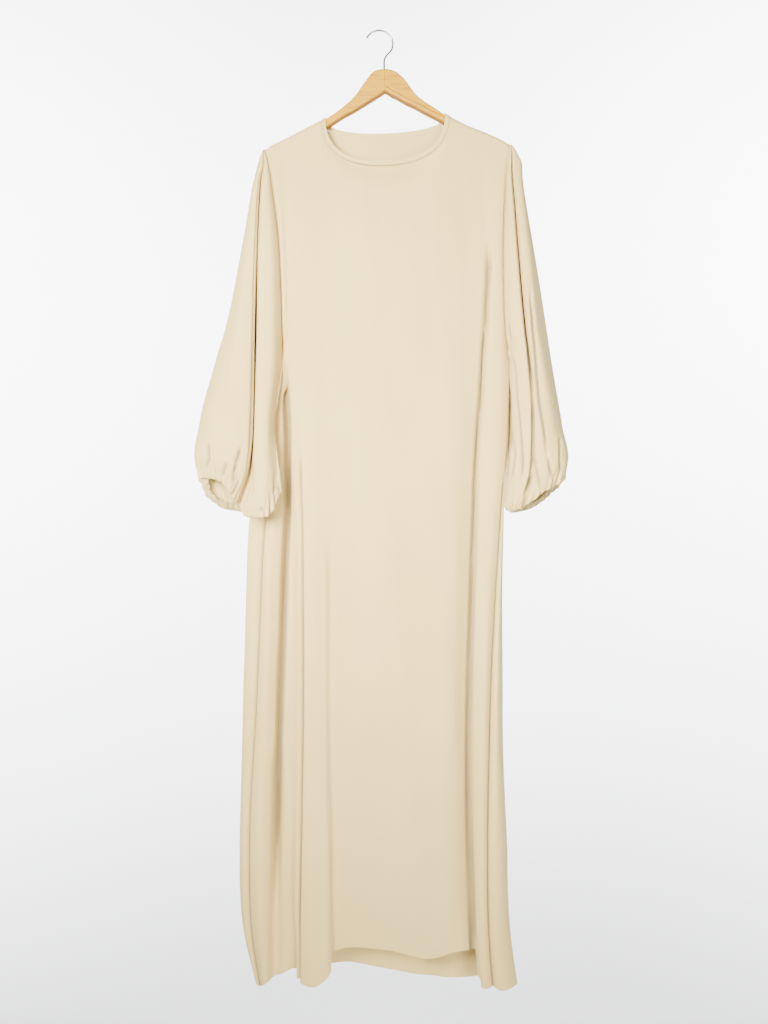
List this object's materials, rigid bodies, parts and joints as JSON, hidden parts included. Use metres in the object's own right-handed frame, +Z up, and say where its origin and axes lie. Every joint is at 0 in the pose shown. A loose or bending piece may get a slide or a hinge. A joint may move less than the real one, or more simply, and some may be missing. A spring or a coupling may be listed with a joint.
{
  "type": "abaya on a wooden hanger",
  "caption": "Long plain closed abaya with balloon sleeves, gathered elastic cuffs and a round bound neck, hanging flat and empty on a wooden hanger with a wire hook.",
  "frame": {"origin": "inside top of the hanger's wire hook, where a rail carries it", "axes": "+Z up along the garment's length, -Y out of its front, +X to the viewer's right"},
  "size_m": [0.6247, 0.1017, 1.623],
  "materials": {
    "cream_crepe": "matte crepe",
    "varnished_wood": "satin varnish",
    "bright_wire": "polished"
  },
  "bodies": {
    "root": {"front_upper": "cream_crepe", "front_lower": "cream_crepe", "back_upper": "cream_crepe", "back_lower": "cream_crepe", "sleeve_left_upper": "cream_crepe", "sleeve_left_lower": "cream_crepe", "sleeve_right_upper": "cream_crepe", "sleeve_right_lower": "cream_crepe", "cuff_left": "cream_crepe", "cuff_right": "cream_crepe", "neck_binding": "cream_crepe", "hanger_wood": "varnished_wood", "hanger_hook": "bright_wire"}
  },
  "joints": []
}
